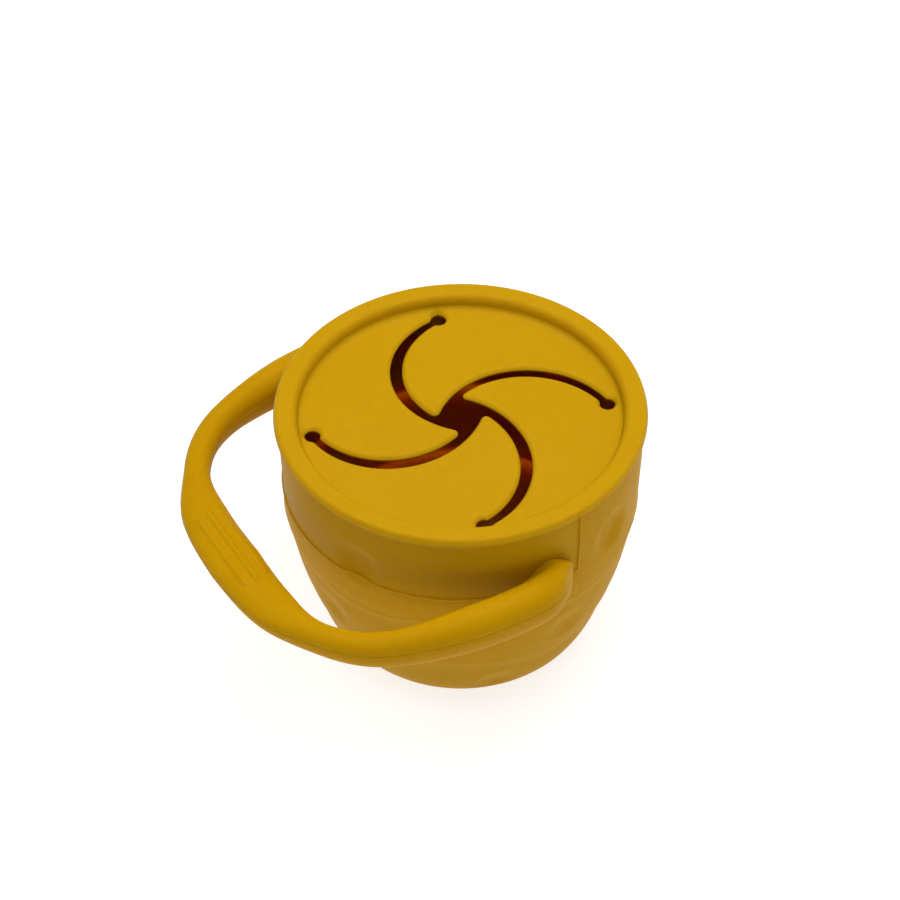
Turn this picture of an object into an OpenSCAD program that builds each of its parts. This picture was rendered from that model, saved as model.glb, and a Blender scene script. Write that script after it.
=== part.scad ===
// Toddler snack container: a soft cup with a loop handle, and a soft lid whose
// membrane is cut by four curved slits into flaps that let a hand in and keep
// the snacks from falling out.
// Origin: centre of the base, on the axis of the cup. +Z up, handle towards -X.
// Millimetres.

/* [Cup] */
// Height of the rim of the cup above the base
cup_h = 67.4; // [60:0.1:80]
// Largest outside radius of the cup, just under the rim
cup_r = 44.9; // [42:0.1:48]
// Thickness of the cup wall
wall_t = 3; // [2:0.1:3.6]
// Thickness of the floor of the cup
floor_t = 3.2; // [2:0.1:5]
// Depth of the round dimples in the outside of the wall
dimple_depth = 1; // [0.6:0.1:1.4]
// Radius of the round dimples where they meet the wall
dimple_r = 6.4; // [4:0.1:7.5]

/* [Lid] */
// Outside radius of the rim of the lid
lid_r = 46; // [45.4:0.1:48]
// Height of the raised lip above the membrane
lip_h = 3.8; // [2.6:0.1:5]
// Thickness of the membrane and its flaps
membrane_t = 1.8; // [1.2:0.1:2.2]
// Thickness of the rim flange that rests on the cup
flange_t = 2; // [1.6:0.1:2.6]
// Depth of the plug ring below the flange
plug_depth = 9.2; // [6:0.1:12]
// Wall thickness of the plug ring
plug_t = 2.3; // [1.6:0.1:3]
// Gap between the plug ring and the inside of the cup
plug_gap = 0.3; // [0.2:0.05:0.6]

/* [Flaps] */
// Distance of the round slit ends from the axis
slit_end_ring_r = 36.7; // [35.7:0.1:37]
// Radius of the round slit ends
slit_end_r = 2; // [1.4:0.1:2.2]
// Direction of the first slit end
slit_end_angle = -20.6; // [-24:0.1:-18]
// Radius of the rounded flap tips
tip_r = 1.3; // [0.8:0.1:1.6]
// Angle by which the flaps stand up at rest
flap_lift = 3.6; // [0:0.1:5]
// Distance of the hinge line of each flap from the axis
hinge_d = 24.8; // [24:0.1:26]
// Play round the bead on the hinge line
hinge_gap = 0.3; // [0.25:0.05:0.4]

/* [Handle] */
// Length scale of the loop in its own plane
loop_scale = 1; // [0.97:0.01:1.1]
// Height of the middle of the grip above the base
grip_z = 47.6; // [44:0.1:50]
// Height of the middle of the roots above the base
root_z = 52.1; // [48:0.1:53]
// Number of raised ribs on top of the grip
rib_count = 3; // [1:1:3]
// Length of the ribs
rib_len = 25; // [10:1:28]
// Distance between neighbouring ribs
rib_pitch = 3.2; // [2.6:0.1:3.6]

/* [Hidden] */
$fn = 96;
eps = 0.01;

// the cup's section: fractions of cup_r and cup_h, from the base to the rim
OUTLINE = [[0.622, 0], [0.662, 0.007], [0.688, 0.018], [0.714, 0.034], [0.742, 0.059], [0.794, 0.134], [0.831, 0.208],
           [0.878, 0.297], [0.921, 0.401], [0.952, 0.505], [0.968, 0.556], [0.982, 0.608],
           [0.992, 0.742], [1, 0.885], [0.997, 1]];
function out_pt(p) = [p[0] * cup_r, p[1] * cup_h];
// inner radius of the cup where the plug ring sits
cup_in_r = 0.997 * cup_r - wall_t;
mouth_z = cup_h - plug_depth - 1.2;

// the lid's levels
flange_z = cup_h + 0.2;
lip_z = flange_z + flange_t;
top_z = lip_z - lip_h;                // top face of the membrane
mid_z = top_z - membrane_t / 2;       // its middle, where the hinge lines are
plug_r = cup_in_r - plug_gap;

// turns a point of the plane round the axis
function turn(p, a) = [p[0] * cos(a) - p[1] * sin(a), p[0] * sin(a) + p[1] * cos(a)];
// the crossing of two circles that lies to the left of the line between their centres
function cross_pt(a, ra, b, rb) =
    let (d = norm(b - a), u = (b - a) / d, x = (ra * ra - rb * rb + d * d) / (2 * d), h = sqrt(ra * ra - x * x))
    a + x * u + h * [-u[1], u[0]];

// a slit: the space between an outer arc and a smaller, shifted inner arc
base_turn = slit_end_angle + 20.6;
OUT_C = turn([12, -13.2], base_turn);
OUT_R = 23.2;
IN_C = turn([11.4, -15.1], base_turn);
IN_R = 22.1;
END_C = slit_end_ring_r * [cos(slit_end_angle), sin(slit_end_angle)];
// the flap lies inside its own slit's inner arc and outside the next slit's outer arc
NEXT_C = turn(OUT_C, -90);
TIP_C = cross_pt(NEXT_C, OUT_R + tip_r, IN_C, IN_R - tip_r);
TIP_SHARP = cross_pt(NEXT_C, OUT_R, IN_C, IN_R);
TIP_A = IN_C + IN_R * (TIP_C - IN_C) / norm(TIP_C - IN_C);
TIP_B = NEXT_C + OUT_R * (TIP_C - NEXT_C) / norm(TIP_C - NEXT_C);
// direction from the axis to the hinge line
hinge_a = slit_end_angle - 45;

module at_circle(c, r) { translate([c[0], c[1], 0]) circle(r = r); }

// half plane on the axis side of the line at distance d in direction hinge_a
module inside_line(d) {
    rotate([0, 0, hinge_a]) translate([d - 80, -40, 0]) square([80, 80]);
}

module flap_outline() {
    difference() {
        at_circle(IN_C, IN_R);
        at_circle(NEXT_C, OUT_R);
        at_circle(END_C, slit_end_r);
        polygon([TIP_A, TIP_A + 1.6 * (TIP_SHARP - TIP_C), TIP_SHARP + 2 * (TIP_SHARP - TIP_C),
                 TIP_B + 1.6 * (TIP_SHARP - TIP_C), TIP_B]);
    }
    at_circle(TIP_C, tip_r);
}

module hinge_rod(r, len) {
    rotate([0, 0, hinge_a]) translate([hinge_d, 0, mid_z]) rotate([90, 0, 0]) translate([0, 0, -len / 2])
        cylinder(r = r, h = len, $fn = 48);
}

// turns a flap up about its own hinge line
module lifted() {
    rotate([0, 0, hinge_a]) translate([hinge_d, 0, mid_z]) rotate([0, flap_lift, 0]) translate([-hinge_d, 0, -mid_z])
        rotate([0, 0, -hinge_a]) children();
}

module flap(k) {
    color("goldenrod") rotate([0, 0, -90 * (k - 1)]) lifted() {
        translate([0, 0, top_z - membrane_t]) linear_extrude(membrane_t) intersection() {
            flap_outline();
            inside_line(hinge_d);
        }
        intersection() {
            hinge_rod(membrane_t / 2, 70);
            translate([0, 0, top_z - membrane_t - 1]) linear_extrude(membrane_t + 2) flap_outline();
        }
    }
}
module flap_1() flap(1);
module flap_2() flap(2);
module flap_3() flap(3);
module flap_4() flap(4);

// everything that one slit and its flap take out of the membrane
module slit_and_flap_space() {
    zl = top_z - membrane_t - 1;
    translate([0, 0, zl]) linear_extrude(membrane_t + 2) {
        intersection() {
            at_circle(IN_C, IN_R);
            inside_line(hinge_d);
        }
        intersection() {
            difference() {
                at_circle(OUT_C, OUT_R);
                at_circle(IN_C, IN_R);
            }
            polygon([OUT_C, OUT_C + turn([50, -0.6], base_turn), OUT_C + turn([50, 50], base_turn),
                     OUT_C + turn([-6, 50], base_turn)]);
        }
        at_circle(END_C, slit_end_r);
    }
    intersection() {
        hinge_rod(membrane_t / 2 + hinge_gap, 70);
        translate([0, 0, zl]) linear_extrude(membrane_t + 2) difference() {
            at_circle(IN_C, IN_R + 1);
            at_circle(NEXT_C, OUT_R - 1);
        }
    }
}

// points along the rounded inner shoulder of the lip
shoulder_r = 0.93 * lid_r;
LIP = [for (a = [90:15:180]) [shoulder_r + 3.3 * cos(a), lip_z - 3.2 + 3.2 * sin(a)]];

module lid() {
    color("goldenrod") difference() {
        rotate_extrude($fn = 120) polygon(concat(
            [[0, top_z - membrane_t], [plug_r - plug_t, top_z - membrane_t], [plug_r - plug_t, flange_z - plug_depth + 0.6],
             [plug_r - plug_t + 0.6, flange_z - plug_depth], [plug_r - 0.8, flange_z - plug_depth],
             [plug_r, flange_z - plug_depth + 1.2], [plug_r, flange_z],
             [lid_r - 0.7, flange_z], [lid_r - 0.1, flange_z + 0.5], [lid_r, flange_z + 1], [lid_r - 0.2, flange_z + 1.5],
             [lid_r - 0.8, lip_z - 0.15], [lid_r - 1.8, lip_z]],
            LIP,
            [[shoulder_r - 3.4, top_z + 0.25], [shoulder_r - 3.8, top_z], [0, top_z]]));
        for (k = [0:3]) rotate([0, 0, -90 * k]) slit_and_flap_space();
    }
}

// a shallow dimple: the cap of a large sphere whose middle lies outside the wall
dimple_R = (dimple_r * dimple_r + dimple_depth * dimple_depth) / (2 * dimple_depth);
module dimple(a, z, r, tilt) {
    rotate([0, 0, a]) translate([r, 0, z]) rotate([0, tilt, 0]) translate([dimple_R - dimple_depth, 0, 0])
        sphere(r = dimple_R, $fn = 96);
}

module cup() {
    n = len(OUTLINE);
    color("darkgoldenrod") difference() {
        rotate_extrude($fn = 120) polygon(concat(
            [[0, 0]], [for (p = OUTLINE) out_pt(p)],
            [[cup_in_r, cup_h], [cup_in_r, mouth_z], [0.984 * cup_r - wall_t, 0.615 * cup_h],
             // two soft folds, where the wall is thinner
             [0.976 * cup_r - wall_t, 0.585 * cup_h], [0.991 * cup_r - wall_t, 0.555 * cup_h], [0.953 * cup_r - wall_t, 0.52 * cup_h],
             [0.921 * cup_r - wall_t, 0.39 * cup_h], [0.872 * cup_r - wall_t, 0.3 * cup_h],
             [0.883 * cup_r - wall_t, 0.272 * cup_h], [0.838 * cup_r - wall_t, 0.225 * cup_h],
             [0.765 * cup_r - wall_t, 0.1 * cup_h], [0.7 * cup_r - wall_t, floor_t + 0.6], [0.66 * cup_r - wall_t, floor_t],
             [0, floor_t]]));
        for (k = [0:3]) {
            dimple(-63.5 + 90 * k, 0.775 * cup_h, 0.994 * cup_r, 1);
            dimple(-81 + 90 * k, 0.371 * cup_h, 0.910 * cup_r, 16);
            dimple(-104.6 + 90 * k, 0.118 * cup_h, 0.784 * cup_r, 25);
        }
    }
}

// the loop: distance from the axis towards the grip, sideways distance, half
// width, height above and below its middle plane, from one root to the grip
LOOP = [[-6.9, 41.8, 4.6, 0.4, 11], [-4.9, 44.1, 4.6, 0.8, 10.3], [-2.7, 46.1, 4.6, 3.7, 8.9], [-0.2, 47.7, 4.6, 4.8, 8.2],
        [3, 49.1, 4.6, 4.9, 8.1], [10.4, 50.2, 4.6, 4.9, 8], [22.4, 49.6, 4.6, 4.9, 7.8], [34.2, 47.6, 3.9, 4.4, 7],
        [43.7, 44.8, 3.5, 3.8, 6.3], [51.2, 39.8, 3.4, 3.3, 5.7], [55.8, 34.5, 3.4, 3, 5.4], [58.8, 29.3, 3.7, 3, 5.3],
        [61.5, 21.8, 5.1, 3, 5.3], [63, 11.9, 6.3, 2.9, 5.3], [63.4, 0, 6.7, 2.9, 5.3]];
MIRRORED = [for (i = [len(LOOP) - 2:-1:0]) [LOOP[i][0], -LOOP[i][1], LOOP[i][2], LOOP[i][3], LOOP[i][4]]];
PATH = concat([2 * LOOP[0] - LOOP[1]], LOOP, MIRRORED, [2 * MIRRORED[len(MIRRORED) - 1] - MIRRORED[len(MIRRORED) - 2]]);
// smooth curve through the points
function spline(a, b, c, d, t) =
    0.5 * (2 * b + (c - a) * t + (2 * a - 5 * b + 4 * c - d) * t * t + (3 * b - a - 3 * c + d) * t * t * t);
steps = 3;
SPANS = len(PATH) - 3;
WAY = concat([for (i = [0:SPANS - 1], s = [0:steps - 1]) spline(PATH[i], PATH[i + 1], PATH[i + 2], PATH[i + 3], s / steps)],
             [PATH[SPANS + 1]]);
NW = len(WAY);
SIDES = 24;
function dir_at(i) = let (a = WAY[max(i - 1, 0)], b = WAY[min(i + 1, NW - 1)], v = [b[0] - a[0], b[1] - a[1]]) v / norm(v);
// near a root the outer half of the section is narrower, so that the end leans against the wall of the cup
function root_d(w) = norm([w[0], abs(w[1])] - [LOOP[0][0], LOOP[0][1]]);
function ring(w, d) =
    let (c = loop_scale * [w[0], w[1]],
         z = root_z + (grip_z - root_z) * (w[0] + 7) / 70.5 - 0.0004 * (w[0] + 7) * (w[0] - 63.5),
         outer = min(w[2], 0.5 + 0.27 * root_d(w)))
    [for (k = [0:SIDES - 1]) let (a = 360 * k / SIDES, e = 0.94,
        u = (cos(a) > 0 ? w[2] : outer) * sign(cos(a)) * pow(abs(cos(a)), e),
        v = (sin(a) > 0 ? w[3] : w[4]) * sign(sin(a)) * pow(abs(sin(a)), e))
        [-(c[0] + d[1] * u), c[1] - d[0] * u, z + v]];
RINGS = [for (i = [0:NW - 1]) ring(WAY[i], dir_at(i))];

module loop() {
    m = len(RINGS);
    polyhedron(
        points = [for (r = RINGS, p = r) p],
        faces = concat([[for (k = [0:SIDES - 1]) k]],
            [for (i = [0:m - 2], k = [0:SIDES - 1]) [i * SIDES + k, (i + 1) * SIDES + k, (i + 1) * SIDES + (k + 1) % SIDES]],
            [for (i = [0:m - 2], k = [0:SIDES - 1]) [i * SIDES + k, (i + 1) * SIDES + (k + 1) % SIDES, i * SIDES + (k + 1) % SIDES]],
            [[for (k = [SIDES - 1:-1:0]) (m - 1) * SIDES + k]]));
}

// height of the top of the grip over its middle plane, at a distance from the grip's centre line
function grip_top(off) = 2.9 * pow(1 - pow(abs(off) / 6.7, 2.1), 0.47);
rib_mid_r = 62.4;
module rib(i) {
    r = rib_mid_r - rib_pitch * (i - (rib_count - 1) / 2);
    translate([-loop_scale * r, 2.7 - rib_len / 2, grip_z + grip_top(r - 63.4) - 0.42]) rotate([-90, 0, 0])
        cylinder(r = 0.8, h = rib_len, $fn = 24);
}

module handle() {
    color("goldenrod") difference() {
        union() {
            loop();
            for (i = [0:rib_count - 1]) rib(i);
        }
        // the roots reach half way into the wall of the cup
        translate([0, 0, root_z - 20]) cylinder(r = 0.99 * cup_r - 1.5, h = 40, $fn = 120);
    }
}

cup();
handle();
lid();
flap_1();
flap_2();
flap_3();
flap_4();
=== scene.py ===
import math

import bmesh
import bpy
import numpy as np
from mathutils import Matrix, Vector
from mathutils.geometry import delaunay_2d_cdt


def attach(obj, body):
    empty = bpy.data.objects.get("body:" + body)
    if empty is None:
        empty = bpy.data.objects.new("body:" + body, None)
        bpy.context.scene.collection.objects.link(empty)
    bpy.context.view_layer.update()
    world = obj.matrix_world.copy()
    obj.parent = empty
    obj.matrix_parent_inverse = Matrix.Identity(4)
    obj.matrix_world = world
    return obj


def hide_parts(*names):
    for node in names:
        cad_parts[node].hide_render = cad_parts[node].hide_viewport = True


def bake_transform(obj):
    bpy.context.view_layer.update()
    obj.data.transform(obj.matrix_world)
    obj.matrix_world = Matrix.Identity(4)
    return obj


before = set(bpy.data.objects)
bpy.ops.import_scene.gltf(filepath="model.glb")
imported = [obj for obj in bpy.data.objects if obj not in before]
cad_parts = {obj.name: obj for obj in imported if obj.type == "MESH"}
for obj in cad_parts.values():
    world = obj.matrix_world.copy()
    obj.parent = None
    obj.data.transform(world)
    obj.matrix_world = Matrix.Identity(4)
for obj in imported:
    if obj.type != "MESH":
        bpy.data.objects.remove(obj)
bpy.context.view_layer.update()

MM = 0.001

# ---------------------------------------------------------------- sizes, in millimetres
FLANGE_Z = 67.6          # underside of the lid's flange
LIP_Z = 69.6             # top of the lip
TOP_Z = 65.8             # top face of the membrane
MEM_T = 1.25             # its thickness at the cut edges
HINGE_D = 24.8
SLIT_ANGLE = -20.6       # direction of the first slit's end
CUP_H = 67.35
EDGE_Z = 68.7            # the plane of the lid's outer edge, where the camera's frame has its origin


def rad(a):
    return a * math.pi / 180


# ---------------------------------------------------------------- materials
def silicone(name, base, deep, rough, sheen, spec, grain=1.0, scatter=0.004, soft=1.0):
    """Moulded silicone: a fine matt grain, a soft mottling, and a colour that drifts a little across the wall."""
    m = bpy.data.materials.new(name)
    m.use_nodes = True
    t = m.node_tree
    t.nodes.clear()
    N = t.nodes.new
    L = t.links.new
    out = N("ShaderNodeOutputMaterial")
    b = N("ShaderNodeBsdfPrincipled")
    L(b.outputs["BSDF"], out.inputs["Surface"])
    co = N("ShaderNodeTexCoord")

    def noise(scale, detail, roughness=0.5):
        n = N("ShaderNodeTexNoise")
        n.inputs["Scale"].default_value = scale
        n.inputs["Detail"].default_value = detail
        n.inputs["Roughness"].default_value = roughness
        L(co.outputs["Object"], n.inputs["Vector"])
        return n.outputs["Fac"]

    def spread(value, lo, hi, to_lo, to_hi):
        r = N("ShaderNodeMapRange")
        r.inputs["From Min"].default_value = lo
        r.inputs["From Max"].default_value = hi
        r.inputs["To Min"].default_value = to_lo
        r.inputs["To Max"].default_value = to_hi
        L(value, r.inputs["Value"])
        return r.outputs["Result"]

    drift = noise(34, 2)
    mottle = noise(700, 3, 0.6)
    grit = noise(3600, 2, 0.65)
    wave = noise(110, 2)

    mix = N("ShaderNodeMix")
    mix.data_type = "RGBA"
    mix.inputs[6].default_value = (*base, 1)
    mix.inputs[7].default_value = (*deep, 1)
    L(spread(drift, 0.35, 0.65, 0.0, 0.75), mix.inputs[0])
    fleck = N("ShaderNodeMix")
    fleck.data_type = "RGBA"
    fleck.blend_type = "MULTIPLY"
    L(mix.outputs[2], fleck.inputs[6])
    fleck.inputs[7].default_value = (0.93, 0.92, 0.90, 1)
    L(spread(mottle, 0.42, 0.72, 0.0, 0.55), fleck.inputs[0])
    L(fleck.outputs[2], b.inputs["Base Color"])

    L(spread(mottle, 0.3, 0.7, rough - 0.05, rough + 0.06), b.inputs["Roughness"])
    b.inputs["Specular IOR Level"].default_value = spec
    b.inputs["IOR"].default_value = 1.41
    b.inputs["Specular Tint"].default_value = (1.0, 0.82, 0.36, 1)
    b.inputs["Sheen Weight"].default_value = sheen
    b.inputs["Sheen Roughness"].default_value = 0.45
    b.inputs["Sheen Tint"].default_value = (1.0, 0.93, 0.75, 1)
    b.inputs["Subsurface Weight"].default_value = soft
    b.inputs["Subsurface Radius"].default_value = (1.0, 0.72, 0.14)
    b.inputs["Subsurface Scale"].default_value = scatter

    b1 = N("ShaderNodeBump")
    b1.inputs["Strength"].default_value = 0.16 * grain
    b1.inputs["Distance"].default_value = 0.00006
    L(grit, b1.inputs["Height"])
    b2 = N("ShaderNodeBump")
    b2.inputs["Strength"].default_value = 0.35
    b2.inputs["Distance"].default_value = 0.00025
    L(wave, b2.inputs["Height"])
    L(b1.outputs["Normal"], b2.inputs["Normal"])
    L(b2.outputs["Normal"], b.inputs["Normal"])
    return m


MAT_LID = silicone("silicone_lid", (0.500, 0.282, 0.003), (0.486, 0.270, 0.002), 0.44, 0.0, 0.10, 1.0, 0.0016, 0.25)
MAT_UPPER = silicone("silicone_smooth", (0.492, 0.268, 0.001), (0.474, 0.254, 0.001), 0.46, 0.0, 0.06, 1.0, 0.0016, 0.30)
MAT_LOWER = silicone("silicone_matt", (0.480, 0.252, 0.002), (0.462, 0.239, 0.001), 0.54, 0.0, 0.07, 1.6, 0.0016, 0.30)
# the inside: the same silicone painted deeper and redder, painted shade and a painted red glow for the light inside the
# cup
MAT_INSIDE_PAINTED_SHADE = silicone("silicone_inside_painted_shade", (0.480, 0.180, 0.001), (0.462, 0.168, 0.001), 0.50, 0.0, 0.08, 1.0, 0.0055)


def make(name, verts, faces, mats, body, face_mat=None, sharp=None):
    """verts in millimetres; faces is a list of index tuples; sharp is a set of vertices whose joining edges stay crisp."""
    me = bpy.data.meshes.new(name)
    me.from_pydata((np.asarray(verts, float) * MM).tolist(), [], faces)
    for m in mats:
        me.materials.append(m)
    if face_mat is not None:
        me.polygons.foreach_set("material_index", np.asarray(face_mat, np.int32))
    me.polygons.foreach_set("use_smooth", np.ones(len(me.polygons), bool))
    bm = bmesh.new()
    bm.from_mesh(me)
    bmesh.ops.recalc_face_normals(bm, faces=bm.faces)
    if sharp:
        for e in bm.edges:
            if e.verts[0].index in sharp and e.verts[1].index in sharp:
                e.smooth = False
    bm.to_mesh(me)
    bm.free()
    me.validate()
    me.update()
    o = bpy.data.objects.new(name, me)
    bpy.context.scene.collection.objects.link(o)
    if body:
        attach(o, body)
    return o


def grid_faces(rows, cols, first=0, close=True):
    f = []
    n = cols if close else cols - 1
    for i in range(rows - 1):
        a = first + i * cols
        for j in range(n):
            k = (j + 1) % cols
            f.append((a + j, a + k, a + cols + k, a + cols + j))
    return f


# ---------------------------------------------------------------- cup
def pchip(x, y, q):
    """Smooth curve through the points that doesn't overshoot."""
    x, y = np.asarray(x, float), np.asarray(y, float)
    q = np.clip(np.asarray(q, float), x[0], x[-1])
    h = np.diff(x)
    d = np.diff(y) / h
    m = np.zeros_like(y)
    w1, w2 = 2 * h[1:] + h[:-1], h[1:] + 2 * h[:-1]
    ok = d[:-1] * d[1:] > 0
    m[1:-1] = np.where(ok, (w1 + w2) / (w1 / np.where(ok, d[:-1], 1) + w2 / np.where(ok, d[1:], 1)), 0)
    m[0], m[-1] = d[0], d[-1]
    i = np.clip(np.searchsorted(x, q, side="right") - 1, 0, len(x) - 2)
    t = (q - x[i]) / h[i]
    return ((1 + 2 * t) * (1 - t) ** 2 * y[i] + t * (1 - t) ** 2 * h[i] * m[i]
            + t * t * (3 - 2 * t) * y[i + 1] + t * t * (t - 1) * h[i] * m[i + 1])


def sm(x):
    x = np.clip(x, 0, 1)
    return x * x * (3 - 2 * x)


WALL = [(-4, 26.6), (0, 30.13), (4, 33.32), (9, 35.66), (14, 37.3), (17.2, 38.45), (20, 39.41), (27, 41.35), (34, 42.75),
        (37.5, 43.45), (41, 44.1), (50, 44.56), (60, 44.95), (74, 44.9)]
FOOT = 2.2               # rounding where the wall meets the base


def wall_r(z):
    """Outside radius of the cup at height z, with the rounded foot."""
    z = np.asarray(z, float)
    r = pchip([p[0] for p in WALL], [p[1] for p in WALL], z)
    q = np.clip((FOOT - z) / FOOT, 0, 1)
    return r - FOOT * (1 - np.sqrt(np.clip(1 - q * q, 0, 1)))


SEAM_Z = 47.8            # parting line round the grip side of the wall
SEAM_A = 79.9            # and the two upright lines from it to the rim
DIMPLES = [(-63.5 + 90 * k, 52.2, 7.4, 1.45) for k in range(4)] + \
          [(-79.5 + 90 * k, 26.0, 6.8, 0.95) for k in range(4)] + \
          [(-104.6 + 90 * k, 7.2, 6.0, 0.90) for k in range(4)]


def cup_surface(a, z):
    """Outward offset from wall_r at azimuth a (degrees) and height z: dimples and the two soft fold rings."""
    d = np.zeros_like(a)
    r = wall_r(z)
    # the fold rings dip under the dimples above them
    aw = (a + 180) % 360 - 180
    other = sm((np.abs(aw + 68.0) - 20.0) / 35.0)
    f1 = 39.8 - other - 2.6 * np.cos(4 * np.radians(a - 12.0 - 14.0 * other))
    f2 = 18.2 - 1.5 * np.cos(4 * np.radians(a - 9.0))
    for f, amp, w in ((f1, 0.20, 0.6), (f2, 0.07, 1.3)):
        d += amp * np.exp(-((z - f) / w) ** 2)
        d -= 0.10 * np.exp(-((z - f + 3.2) / 2.2) ** 2)
    for (ca, cz, cr, depth) in DIMPLES:
        da = (a - ca + 180) % 360 - 180
        slope = 1.04 if cz < 40 else 1.0
        rho = np.hypot(rad(da) * r, (z - cz) * slope)
        flat = 0.30 if cz > 40 else 0.12
        q = np.clip((rho / cr - flat) / (1 - flat), 0, 1)
        cap = 1 - q * q * (3 - 2 * q)
        d = d * (1 - 0.8 * cap) - depth * cap
    return d


def seam_offset(a, z):
    """The panel on the grip side, above the parting line, sits a little lower than the wall round it."""
    aa = np.abs((a + 180) % 360 - 180)          # 0 at +X, 180 at the grip
    r = wall_r(z)
    side = rad(aa - SEAM_A) * r                 # millimetres past the upright line, towards the grip
    corner = np.clip(side, 0, 2.6)              # a short diagonal joins the upright line to the level one
    low = SEAM_Z + 0.0 * z + 0.35 - 0.35 * corner / 2.6
    deep = np.minimum(side, z - low)            # how far inside the panel
    step = 1 / (1 + np.exp(-np.clip(deep / 0.014, -40, 40)))
    bead = 0.16 * np.exp(-((deep + 0.10) / 0.26) ** 2)
    return bead - 0.26 * step, deep > 0


def build_cup():
    zs = list(np.arange(0.0, 4.0, 0.25)) + list(np.arange(4.0, 66.2, 0.55))
    zs = [z for z in zs if not -1.0 < z - SEAM_Z < 1.1] + [SEAM_Z + d for d in (-0.85, -0.6, -0.42, -0.3, -0.2, -0.12, -0.06, -0.025, 0.0, 0.025, 0.06, 0.12, 0.2, 0.28, 0.35, 0.42, 0.5, 0.7, 0.9)]
    zs = sorted(zs)
    zs[0] = 0.0
    cols = 400
    az = list(np.arange(cols) * 360.0 / cols)
    for s in (SEAM_A, 360 - SEAM_A):
        az = [a for a in az if abs(a - s) > 0.95] + [s + d for d in (-0.9, -0.6, -0.4, -0.27, -0.15, -0.07, -0.03, 0.0, 0.03, 0.07, 0.15, 0.27, 0.4, 0.6, 0.9)]
    az = np.array(sorted(az))
    cols = len(az)
    ca, sa = np.cos(np.radians(az)), np.sin(np.radians(az))
    rows = []
    tags = []
    # underside, from the middle out
    for r in (2, 8, 15, 20, 24, 26.5, 27.5):
        rows.append(np.stack([r * ca, r * sa, np.zeros(cols)], -1))
        tags.append(0)
    for z in zs:
        zz = np.full(cols, z)
        off = cup_surface(az, zz)
        s, inside = seam_offset(az, zz)
        fade = min(1.0, z / 2.0)
        r = wall_r(z) + (off + s) * fade
        if z == 0.0:
            r = np.full(cols, float(wall_r(0.0)))
        rows.append(np.stack([r * ca, r * sa, zz], -1))
        tags.append(1)
    # rolled rim, then the inside down to the floor
    rt = float(wall_r(66.2))
    ri = 41.77
    rim = [(rt, 66.6), (rt, 66.95), (rt - 0.05, 67.15), (rt - 0.17, 67.28), (rt - 0.4, CUP_H), (rt - 1.1, CUP_H),
           (ri + 0.9, CUP_H), (ri + 0.5, 67.25), (ri + 0.2, 67.0), (ri + 0.04, 66.6), (ri, 66.0), (ri, 60), (ri, 57.4), (ri - 0.05, 57.0)]
    # the wall is thinner at its two folds
    inner = [(41.55, 54.5), (41.5, 51), (41.4, 48)]
    for z in np.arange(45.0, 9.5, -0.9):
        t = 3.0 - 1.85 * math.exp(-((z - 36.4) / 2.7) ** 2) - 1.75 * math.exp(-((z - 17.6) / 2.3) ** 2)
        inner.append((float(wall_r(z)) - t, z))
    inner += [(32.3, 8.4), (31.1, 6.2), (29.9, 4.7), (28.0, 3.6), (26.2, 3.25), (24, 3.2), (16, 3.2), (8, 3.2), (2, 3.2)]
    for (r, z) in rim + inner:
        rows.append(np.stack([r * ca, r * sa, np.full(cols, z)], -1))
        tags.append(1 if (r, z) in rim and z > 66.3 else 2)     # the rim has the colour of the outer wall
    V = np.concatenate(rows)
    F = grid_faces(len(rows), cols)
    n = len(V)
    V = np.concatenate([V, [[0, 0, 0], [0, 0, 3.2]]])
    F += [(j, n, (j + 1) % cols)[::-1] for j in range(cols)]
    last = (len(rows) - 1) * cols
    F += [(last + j, last + (j + 1) % cols, n + 1) for j in range(cols)]
    # which faces have the smoother finish: the panel above the parting line, and the inside, whose copy of the silicone
    # is also painted deeper and redder as painted shade and a painted red glow
    fm = []
    for i in range(len(rows) - 1):
        for j in range(cols):
            if tags[i] == 2:
                fm.append(2)
                continue
            c = 0.25 * (rows[i][j] + rows[i][(j + 1) % cols] + rows[i + 1][j] + rows[i + 1][(j + 1) % cols])
            a = abs(math.degrees(math.atan2(c[1], c[0])))
            fm.append(0 if (a > SEAM_A and c[2] > SEAM_Z) else 1)
    fm += [1] * cols + [2] * cols
    return make("cup_silicone_body", V, F, [MAT_UPPER, MAT_LOWER, MAT_INSIDE_PAINTED_SHADE], "cup", fm)


# ---------------------------------------------------------------- handle
CONTROL = [(-6.9, 41.78), (-1.38, 48.67), (8.65, 51.33), (34.68, 48.37), (52.0, 42.27), (63.33, 22.42), (63.33, 0.0)]
LOOP_S = [0.0, 0.16, 0.32, 0.5, 0.7, 0.88, 1.0]      # 0 in the middle of the grip, 1 at the root
LOOP_W = [6.58, 5.77, 3.27, 3.39, 4.5, 4.43, 4.5]    # half width
LOOP_T = [2.88, 3.0, 3.0, 3.81, 4.82, 4.82, 4.93]    # height above the parting line
LOOP_B = [5.28, 5.26, 5.24, 6.28, 7.69, 8.04, 8.46]  # depth below it


def loop_z(n):
    return 52.158 - 0.0716 * n - 0.0004022 * (n - 13.8) * (n - 63.02)


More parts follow.
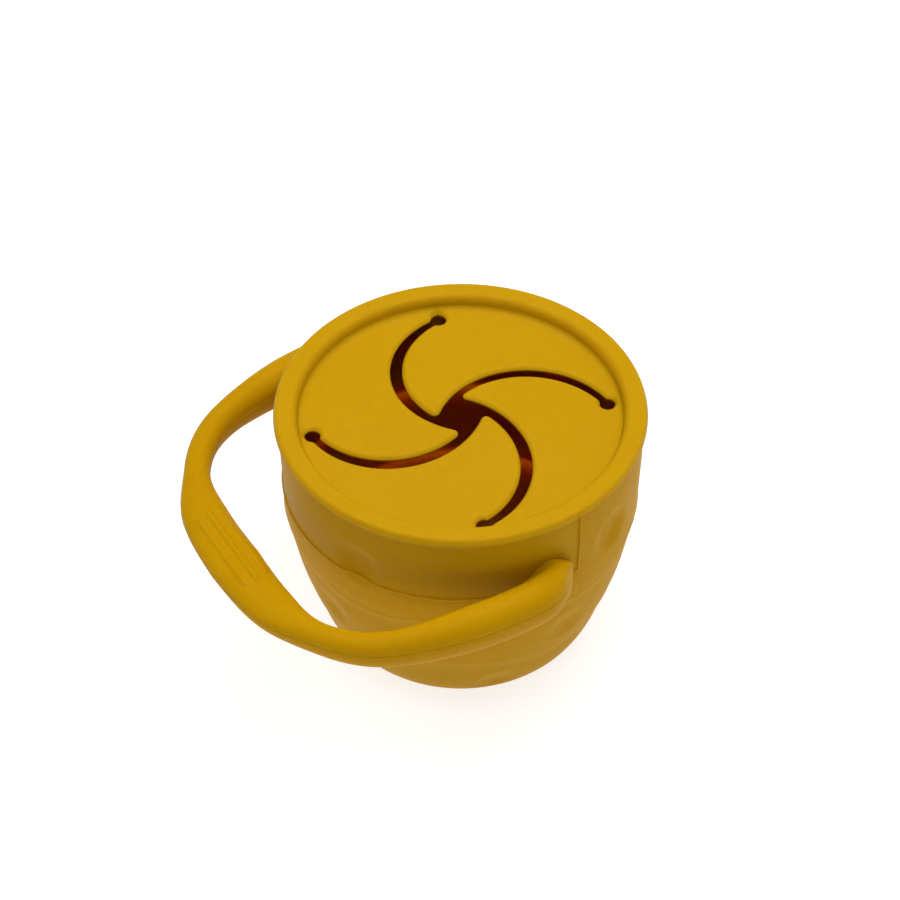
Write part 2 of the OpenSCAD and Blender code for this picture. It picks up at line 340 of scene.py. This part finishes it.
def bspline(cp, u):
    """Clamped uniform cubic B-spline."""
    k = 3
    m = len(cp)
    t = np.concatenate([[0] * k, np.linspace(0, 1, m - k + 1), [1] * k])
    u = np.clip(u, 0, 1 - 1e-12)
    B = [np.where((u >= t[i]) & (u < t[i + 1]), 1.0, 0.0) for i in range(m + k)]
    for d in range(1, k + 1):
        nb = []
        for i in range(m + k - d):
            x = 0
            if t[i + d] > t[i]:
                x = x + (u - t[i]) / (t[i + d] - t[i]) * B[i]
            if t[i + d + 1] > t[i + 1]:
                x = x + (t[i + d + 1] - u) / (t[i + d + 1] - t[i + 1]) * B[i + 1]
            nb.append(x if not np.isscalar(x) else np.zeros_like(u))
        B = nb
    return sum(B[i][:, None] * np.asarray(cp[i], float) for i in range(m))


RIBS = [(65.6, 2.3, 12.9), (62.4, 2.9, 13.4), (59.3, 2.8, 11.9)]   # distance from the axis, middle, half length


def build_handle():
    cp = CONTROL + [(n, -t) for (n, t) in CONTROL[-2::-1]]
    uu = np.linspace(0, 1, 4001)
    c = bspline(cp, uu)
    ds = np.concatenate([[0], np.cumsum(np.linalg.norm(np.diff(c, axis=0), axis=1))])
    total = ds[-1]
    half = total / 2
    # stations: dense over the ribs and at the roots
    st = [0.0]
    while st[-1] < total - 1e-6:
        x = st[-1]
        m = abs(x - half)
        e = min(x, total - x)
        step = 0.28 if m < 20 else (0.35 if e < 8 else 0.9)
        st.append(min(x + step, total))
    if st[-1] - st[-2] < 0.1:
        st.pop(-2)
    st = np.array(st)
    pn = np.interp(st, ds, c[:, 0])
    pt = np.interp(st, ds, c[:, 1])
    g = np.stack([np.gradient(pn, st), np.gradient(pt, st)], -1)
    g /= np.linalg.norm(g, axis=1)[:, None]
    lat = np.stack([-g[:, 1], g[:, 0]], -1)      # sideways, away from the cup on the first arm
    s = np.abs(st / total * 2 - 1)
    w = pchip(LOOP_S, LOOP_W, s)
    ht = pchip(LOOP_S, LOOP_T, s)
    hb = pchip(LOOP_S, LOOP_B, s)
    # blunt ends, which lean out of the wall: the outer half of the section grows over the first millimetres
    e = np.minimum(st, total - st)
    w_out = np.minimum(w, pchip([0, 3, 6, 9, 12, 15.5, 20, 60], [0.2, 0.95, 1.8, 2.7, 3.75, 4.4, 4.6, 9.0], e))
    end = 1 - sm(e / 9.0)
    ht = ht * np.maximum(np.sqrt(np.clip(1 - (np.clip(9.0 - e, 0, None) / 5.8) ** 2, 0, 1)), 0.06)
    q = np.clip((2.4 - e) / 2.4, 0, 1)
    ht = ht * (1 - 0.30 * end)
    hb = (hb + 1.5 * end) * np.sqrt(np.clip(1 - q * q, 0.01, 1))
    # the section is boxier at the ends
    ex = 2.1 + 1.9 * (1 - sm((e - 1.0) / 9.0))

    # near the root the narrow wedge between the arm and the wall is filled
    fill = sm((18.5 - e) / 2.5)
    gap = np.hypot(pn, pt) - wall_r(loop_z(pn)) + 0.7
    w_in = w + fill * np.clip(gap - w, 0, 4.5)
    ramp = 0.93 - 0.93 * np.clip((e - 7.5) / 8.0, 0, 1)

    # section: x from -1 to 1 across, separate upper and lower halves, a fine notch at the parting line
    ux = -np.cos(np.linspace(0, math.pi, 131))
    la = np.linspace(0, math.pi, 53)[1:-1]
    V = []
    n_up = len(ux)
    notch, proud = 0.16, 0.05
    for i in range(len(st)):
        across = np.clip(np.abs(ux) * np.where(ux < 0, w_in[i] / w[i], 1.0), 0, 1)
        uy = np.clip(1 - across ** ex[i], 0, 1) ** (1 / ex[i])
        uy = np.where((ux < 0) & (ux > -1), np.maximum(uy, ramp[i]), uy)
        lx = np.sign(np.cos(la)) * np.abs(np.cos(la)) ** (2 / ex[i])
        ly = -np.abs(np.sin(la)) ** (2 / ex[i])
        x_up = ux * np.where(ux > 0, w_out[i], w_in[i])
        y_up = uy * ht[i] + 0.06
        # the lower half stands a hair proud and has a crisp upper edge
        x_lo = lx * np.where(lx > 0, w_out[i] + proud, w_in[i] + proud)
        y_lo = ly * hb[i] - 0.12
        x = np.concatenate([x_up, [w_out[i] - notch, w_out[i] - 0.02, w_out[i] + proud * 0.8], x_lo, [-(w_in[i] + proud * 0.8), -(w_in[i] - 0.02), -(w_in[i] - notch)]])
        y = np.concatenate([y_up, [-0.02, -0.04, -0.05], y_lo, [-0.05, -0.04, -0.02]])
        zc = loop_z(pn[i]) - 1.2 * end[i]
        P = np.stack([pn[i] + lat[i, 0] * x, pt[i] + lat[i, 1] * x, zc + y], -1)
        V.append(P)
    V = np.array(V)                               # stations, around, 3  in (n, t, z)
    # ribs on top of the grip
    n_, t_, z_ = V[..., 0], V[..., 1], V[..., 2]
    zc = loop_z(pn)
    is_top = (z_ - zc[:, None]) > 0.9
    lift = np.zeros_like(z_)
    for (rn, rt, hl) in RIBS:
        along = np.clip(np.abs(t_ - rt) - hl + 0.8, 0, None)
        # each rib keeps its distance from the grip's own edge
        across = n_ - rn
        d = np.hypot(across, along)
        lift += 0.50 * np.exp(-(np.abs(d) / 0.80) ** 2.6)
    z_ += np.where(is_top, lift, 0)
    # roots flow into the wall: near it the top flares out
    RF = 1.6
    dist = np.hypot(V[..., 0], V[..., 1]) - wall_r(V[..., 2])
    f = np.clip((RF - dist) / RF, 0, 1)
    flare = RF * (1 - np.sqrt(np.clip(1 - f * f, 0, 1)))
    rel = V[..., 2] - zc[:, None]
    near = (np.clip((24.0 - e) / 8.0, 0, 1) * sm((e - 6.0) / 7.0))[:, None]
    V[..., 2] += flare * near * np.clip(rel / 3.0, 0, 1) * 0.8
    # the roots end inside the thickness of the wall
    rr = np.hypot(V[..., 0], V[..., 1])
    k = np.maximum(1, (wall_r(V[..., 2]) - 1.1) / rr)
    V[..., 0] *= k
    V[..., 1] *= k
    # row frame: the grip is towards -X
    P = np.stack([-V[..., 0], V[..., 1], V[..., 2]], -1).reshape(-1, 3)
    c, sn = math.cos(rad(0.44)), math.sin(rad(0.44))
    P[:, :2] = np.stack([P[:, 0] * c - P[:, 1] * sn, P[:, 0] * sn + P[:, 1] * c], -1)
    rows, cols = V.shape[0], V.shape[1]
    F = grid_faces(rows, cols)
    F.append(tuple(range(cols))[::-1])
    F.append(tuple((rows - 1) * cols + j for j in range(cols)))
    fm = []
    for i in range(rows - 1):
        for j in range(cols):
            fm.append(0 if j < n_up or j >= cols - 3 else 1)
    fm += [0, 0]
    return make("handle_loop", P, F, [MAT_UPPER, MAT_LOWER], "cup", fm), V


# ---------------------------------------------------------------- lid
# the lip's inner slope, which the membrane carries on down to its flat part
TOE_R = [0, 37.7, 38.2, 38.7, 39.1, 39.45, 39.75, 40.0]
TOE_H = [0, 0, 0.03, 0.13, 0.28, 0.48, 0.74, 1.20]
LIP = [(40.015, 67.0), (40.08, 67.3), (40.16, 67.75), (40.3, 68.2), (40.5, 68.62), (40.8, 69.02), (41.2, 69.34), (41.65, 69.53), (42.1, 69.59)]


def build_ring():
    # from the membrane's edge up the inside of the lip, over it, and down to the plug
    prof = LIP + [(42.5, 69.6)]
    prof += [(43.1, 69.6), (43.8, 69.6), (44.5, 69.6), (44.9, 69.585), (45.15, 69.52), (45.38, 69.38), (45.57, 69.17), (45.72, 68.9),
             (45.84, 68.6), (45.93, 68.3), (45.99, 68.05), (46.0, 67.98), (45.97, 67.92), (45.9, 67.87), (45.4, 67.65), (45.0, 67.6), (43.5, 67.6), (41.8, 67.6), (41.55, 67.5), (41.47, 67.3),
             (41.47, 63), (41.47, 59.6), (41.35, 59.0), (41.05, 58.6), (40.6, 58.42), (40.1, 58.42), (39.6, 58.6), (39.3, 59.0), (39.2, 59.6),
             (39.2, 63.4), (39.2, 64.2), (39.28, 64.42), (40.015, 64.5), (40.015, 65.8)]
    n = 360
    a = np.radians(np.arange(n) * 360.0 / n)
    rows = [np.stack([r * np.cos(a), r * np.sin(a), np.full(n, z)], -1) for r, z in prof]
    V = np.concatenate(rows)
    F = []
    m = len(prof)
    for i in range(m):
        k = (i + 1) % m
        for j in range(n):
            jj = (j + 1) % n
            F.append((i * n + j, k * n + j, k * n + jj, i * n + jj))
    # the plug's inside faces the cup and gets the same deeper, redder tone as the cup's inside: painted shade and a
    # painted red glow
    mid = [((prof[i][0] + prof[(i + 1) % m][0]) / 2, (prof[i][1] + prof[(i + 1) % m][1]) / 2) for i in range(m)]
    fm = np.repeat([1 if r < 39.7 and z < 64.45 else 0 for r, z in mid], n)
    return make("lid_ring", V, F, [MAT_LID, MAT_INSIDE_PAINTED_SHADE], "lid", face_mat=fm, sharp=set(range(n)))


def turn2(p, a):
    c, s = math.cos(rad(a)), math.sin(rad(a))
    return np.array([p[0] * c - p[1] * s, p[0] * s + p[1] * c])


def cross_pts(a, ra, b, rb):
    a, b = np.array(a, float), np.array(b, float)
    d = np.linalg.norm(b - a)
    u = (b - a) / d
    x = (ra * ra - rb * rb + d * d) / (2 * d)
    h = math.sqrt(max(ra * ra - x * x, 0))
    n = np.array([-u[1], u[0]])
    return a + x * u + h * n, a + x * u - h * n


IN_C, IN_R = np.array([11.4, -15.1]), 22.1
OUT_C, OUT_R = np.array([12.0, -13.2]), 23.2
NEXT_C = turn2(OUT_C, -90)
END_R, RING_R, TIP_R = 2.0, 36.7, 1.3
MARGIN_R = 40.0


def arc(c, r, a0, a1, step=0.34):
    n = max(2, int(abs(rad(a1 - a0)) * r / step) + 1)
    a = np.radians(np.linspace(a0, a1, n))
    return np.stack([c[0] + r * np.cos(a), c[1] + r * np.sin(a)], -1)


def ang(v):
    return math.degrees(math.atan2(v[1], v[0]))


def quadrant_outline():
    """The outline of one flap with its part of the membrane's margin, for the flap between the first and the last slit."""
    HA = RING_R * np.array([math.cos(rad(SLIT_ANGLE)), math.sin(rad(SLIT_ANGLE))])
    HB = turn2(HA, -90)
    j = max(cross_pts(HA, END_R, IN_C, IN_R), key=lambda p: p[1])        # inner arc leaves the first hole
    m = max(cross_pts(HB, END_R, NEXT_C, OUT_R), key=lambda p: p[0])     # next slit's outer arc meets its hole
    tip = cross_pts(NEXT_C, OUT_R + TIP_R, IN_C, IN_R - TIP_R)[0]
    a_out = SLIT_ANGLE
    a_j = ang(j - HA)
    while a_j > a_out:
        a_j -= 360
    pts = []
    hole_a = arc(HA, END_R, a_out, a_j, 0.22)
    ia = ang(j - IN_C)
    ta = ang(tip - IN_C)
    inner = arc(IN_C, IN_R, ia, ta)
    tb0, tb1 = ang(tip - IN_C), ang(NEXT_C - tip)
    while tb1 < tb0:
        tb1 += 360
    tipa = arc(tip, TIP_R, tb0, tb1, 0.14)
    oa, ob = ang(tip - NEXT_C), ang(m - NEXT_C)
    outer = arc(NEXT_C, OUT_R, oa, ob)
    b0, b1 = ang(m - HB), SLIT_ANGLE - 90
    while b1 > b0:
        b1 -= 360
    hole_b = arc(HB, END_R, b0, b1, 0.22)
    cut = np.concatenate([hole_a, inner[1:], tipa[1:], outer[1:], hole_b[1:]])
    # soften the corners where the arcs meet
    for _ in range(3):
        cut[1:-1] = 0.5 * cut[1:-1] + 0.25 * (cut[:-2] + cut[2:])
    ra = np.array([math.cos(rad(SLIT_ANGLE)), math.sin(rad(SLIT_ANGLE))])
    rb = turn2(ra, -90)
    seam_b = np.array([rb * r for r in np.linspace(RING_R + END_R, MARGIN_R, 4)[1:]])
    rim = arc((0, 0), MARGIN_R, SLIT_ANGLE - 90, SLIT_ANGLE, 0.5)[1:]
    seam_a = np.array([ra * r for r in np.linspace(MARGIN_R, RING_R + END_R, 4)[1:-1]])
    return cut, np.concatenate([seam_b, rim, seam_a])


def seg_dist(P, poly):
    """Distance from points P to the open polyline poly."""
    best = np.full(len(P), 1e9)
    a, b = poly[:-1], poly[1:]
    for s in range(0, len(P), 4000):
        Q = P[s:s + 4000]
        ab = b - a
        t = np.clip(((Q[:, None] - a) * ab).sum(-1) / np.maximum((ab * ab).sum(-1), 1e-12), 0, 1)
        d = np.linalg.norm(Q[:, None] - (a + t[..., None] * ab), axis=-1)
        best[s:s + 4000] = d.min(1)
    return best


def quadrant_mesh():
    cut, rest = quadrant_outline()
    loop = np.concatenate([cut, rest])
    nl = len(loop)
    # inward normals along the cut
    tan = np.gradient(cut, axis=0)
    tan /= np.linalg.norm(tan, axis=1)[:, None]
    nrm = np.stack([-tan[:, 1], tan[:, 0]], -1)
    # orientation: area sign
    x, y = loop[:, 0], loop[:, 1]
    area = 0.5 * np.sum(x * np.roll(y, -1) - np.roll(x, -1) * y)
    if area < 0:
        nrm = -nrm
    extra = []
    for d in (0.05, 0.14, 0.26, 0.40, 0.56, 0.74, 1.0):
        Q = cut[1:-1] + nrm[1:-1] * d
        dd = seg_dist(Q, cut)
        extra.append(Q[(dd > d - 0.012) & (np.hypot(Q[:, 0], Q[:, 1]) < 37.5)])
    gx, gy = np.meshgrid(np.arange(-20, 40, 0.95), np.arange(-40, 12, 0.82))
    gx = gx + (np.arange(gx.shape[0]) % 2)[:, None] * 0.475
    G = np.stack([gx.ravel(), gy.ravel()], -1)
    inside = in_poly(G, loop)
    G = G[inside]
    G = G[(seg_dist(G, cut) > 1.35) & (seg_dist(G, np.concatenate([rest, rest[:1]])[:-1]) > 0.45)]
    extra.append(G[np.hypot(G[:, 0], G[:, 1]) < 37.4])
    for r in (37.8, 38.1, 38.4, 38.65, 38.9, 39.12, 39.34, 39.54, 39.74, 39.88):
        Q = arc((0, 0), r, SLIT_ANGLE - 89.6, SLIT_ANGLE - 0.4, 0.55)
        extra.append(Q[(seg_dist(Q, cut) > 0.16)])
    E = np.concatenate(extra)
    E = E[in_poly(E, loop)]
    P = np.concatenate([loop, E])
    edges = [(i, (i + 1) % nl) for i in range(nl)]
    r = delaunay_2d_cdt([Vector(p) for p in P], edges, [], 1, 1e-6)
    vo, fo, orig = r[0], r[2], r[3]
    P2 = np.array([(v.x, v.y) for v in vo])
    T = [tuple(f) for f in fo]
    index = {}
    for i, o in enumerate(orig):
        for q in o:
            index[q] = i
    ring = [index[i] for i in range(nl)]
    return P2, T, ring, cut


def in_poly(P, poly):
    x, y = P[:, 0], P[:, 1]
    inside = np.zeros(len(P), bool)
    a = poly
    b = np.roll(poly, -1, axis=0)
    for (x0, y0), (x1, y1) in zip(a, b):
        c = ((y0 > y) != (y1 > y))
        if c.any():
            xx = (x1 - x0) * (y - y0) / (y1 - y0 + 1e-30) + x0
            inside ^= c & (x < xx)
    return inside


RISE = [(2.7, 1.2), (2.4, 1.2), (2.0, 1.2), (1.35, 1.2)]    # the membrane bows up a little: each flap's height over the middle, and how the bow falls off


def build_flaps():
    P2, T, ring, cut = quadrant_mesh()
    d = seg_dist(P2, cut)
    CW, CD, RB = 1.0, 0.70, 0.15      # the top edge is worn to a wide soft chamfer

    def fillet(dist, r):
        q = np.clip((r - dist) / r, 0, 1)
        return r * (1 - np.sqrt(np.clip(1 - q * q, 0, 1)))

    rho = np.hypot(P2[:, 0], P2[:, 1])
    zt = TOP_Z - CD * np.clip((CW - d) / CW, 0, 1) ** 1.7 + pchip(TOE_R, TOE_H, rho)
    zb = TOP_Z - MEM_T + fillet(d, RB)
    n = len(P2)
    flaps = []
    # triangles wound counter-clockwise seen from above
    tri = []
    for (a, b, c) in T:
        A, B, C = P2[a], P2[b], P2[c]
        s = (B[0] - A[0]) * (C[1] - A[1]) - (B[1] - A[1]) * (C[0] - A[0])
        tri.append((a, b, c) if s > 0 else (a, c, b))
    loop = P2[ring]
    area = 0.5 * np.sum(loop[:, 0] * np.roll(loop[:, 1], -1) - np.roll(loop[:, 0], -1) * loop[:, 1])
    order = ring if area > 0 else ring[::-1]
    for k in range(4):
        a = -90 * k
        c, s = math.cos(rad(a)), math.sin(rad(a))
        X = P2[:, 0] * c - P2[:, 1] * s
        Y = P2[:, 0] * s + P2[:, 1] * c
        sag = RISE[k][0] * np.clip(1 - np.hypot(X, Y) / 37.5, 0, 1) ** RISE[k][1]
        if k == 0:
            # this flap's edge stands a little higher beside its slit
            sag += 2.3 * np.exp(-((X - 0.85) ** 2 + (Y - 28.0) ** 2) / 84.5) * np.clip(1 - (np.hypot(X, Y) / 37.3) ** 2, 0, 1) ** 0.8
        V = np.concatenate([np.stack([X, Y, zt + sag], -1), np.stack([X, Y, zb + sag], -1)])
        F = list(tri) + [(p + n, r_ + n, q + n) for (p, q, r_) in tri]
        m = len(order)
        for i in range(m):
            p, q = order[i], order[(i + 1) % m]
            F.append((p, p + n, q + n, q))
        name = "flap_%d" % (k + 1)
        rim = [int(i) for i in ring]
        o = make(name + "_membrane", V, F, [MAT_LID], None, sharp=set(rim) | {i + n for i in rim})
        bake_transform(o)
        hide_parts(name)
        flaps.append(o)
    return flaps


# ---------------------------------------------------------------- camera, floor and lights
def camera():
    e, D, f = 0.765716, 20.0, 3752.27
    pan, tilt, roll = -0.002832, -0.010710, -0.003131
    R = 46.0 * MM
    C = D * np.array([0, -math.cos(e), math.sin(e)])
    right = np.array([1.0, 0, 0])
    fw = np.array([0, math.cos(e), -math.sin(e)])
    up = np.cross(right, fw)
    fw2 = fw * math.cos(tilt) + up * math.sin(tilt)
    up2 = np.cross(right, fw2)
    fw3 = fw2 * math.cos(pan) + right * math.sin(pan)
    r3 = right * math.cos(pan) - fw2 * math.sin(pan)
    r4 = r3 * math.cos(roll) + up2 * math.sin(roll)
    u4 = -r3 * math.sin(roll) + up2 * math.cos(roll)
    t = rad(-29.27)
    rot = np.array([[math.cos(t), -math.sin(t), 0], [math.sin(t), math.cos(t), 0], [0, 0, 1]])
    M = np.eye(4)
    M[:3, 0] = rot @ r4
    M[:3, 1] = rot @ u4
    M[:3, 2] = -(rot @ fw3)
    M[:3, 3] = rot @ C * R + np.array([0, 0, EDGE_Z * MM])
    cam = bpy.data.cameras.new("camera")
    cam.sensor_fit = "HORIZONTAL"
    cam.sensor_width = 36.0
    cam.lens = 36.0 * f / 900.0
    cam.clip_start = 0.01
    cam.clip_end = 20
    o = bpy.data.objects.new("camera", cam)
    o.matrix_world = Matrix(M.tolist())
    bpy.context.scene.collection.objects.link(o)
    bpy.context.scene.camera = o
    return o


def area_light(name, at, to, size, size_y, watts, colour=(1, 1, 1), spread=180):
    l = bpy.data.lights.new(name, "AREA")
    l.shape = "RECTANGLE"
    l.size, l.size_y = size, size_y
    l.energy = watts
    l.color = colour
    l.spread = rad(spread)
    o = bpy.data.objects.new(name, l)
    o.location = at
    o.rotation_euler = (Vector(to) - Vector(at)).to_track_quat("-Z", "Y").to_euler()
    bpy.context.scene.collection.objects.link(o)
    return o


def studio():
    sc = bpy.context.scene
    sc.view_settings.view_transform = "Standard"
    sc.view_settings.look = "None"
    w = bpy.data.worlds.new("studio")
    sc.world = w
    w.use_nodes = True
    bg = w.node_tree.nodes["Background"]
    bg.inputs["Color"].default_value = (1.0, 0.87, 0.62, 1)
    bg.inputs["Strength"].default_value = 0.24
    # floor
    s = 3.0
    me = bpy.data.meshes.new("floor")
    me.from_pydata([(-s, -s, -0.00002), (s, -s, -0.00002), (s, s, -0.00002), (-s, s, -0.00002)], [], [(0, 1, 2, 3)])
    fl = bpy.data.objects.new("floor", me)
    sc.collection.objects.link(fl)
    m = bpy.data.materials.new("floor_white")
    m.use_nodes = True
    t = m.node_tree
    b = t.nodes["Principled BSDF"]
    b.inputs["Base Color"].default_value = (0.38, 0.38, 0.38, 1)
    b.inputs["Roughness"].default_value = 0.9
    b.inputs["Specular IOR Level"].default_value = 0.1
    b.inputs["Emission Color"].default_value = (1, 1, 1, 1)
    b.inputs["Emission Strength"].default_value = 0.79
    me.materials.append(m)
    # photo directions, turned into the row's frame
    def at(az, el, d):
        a = rad(az - 29.27)
        return (d * math.cos(a) * math.cos(rad(el)), d * math.sin(a) * math.cos(rad(el)), d * math.sin(rad(el)))
    mid = (0, 0, 0.04)
    area_light("key_top", at(80, 88, 1.0), mid, 0.9, 0.9, 10.6)
    area_light("fill_right", at(10, 30, 1.2), mid, 0.7, 0.7, 1.8, (1.0, 0.95, 0.88))
    area_light("fill_left", at(190, 35, 1.2), mid, 0.6, 0.6, 0.8, (1.0, 0.95, 0.88))


# ---------------------------------------------------------------- build
camera()
studio()
cup = build_cup()
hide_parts("cup")
handle, _hv = build_handle()
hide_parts("handle")
ring = build_ring()
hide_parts("lid")
flaps = build_flaps()
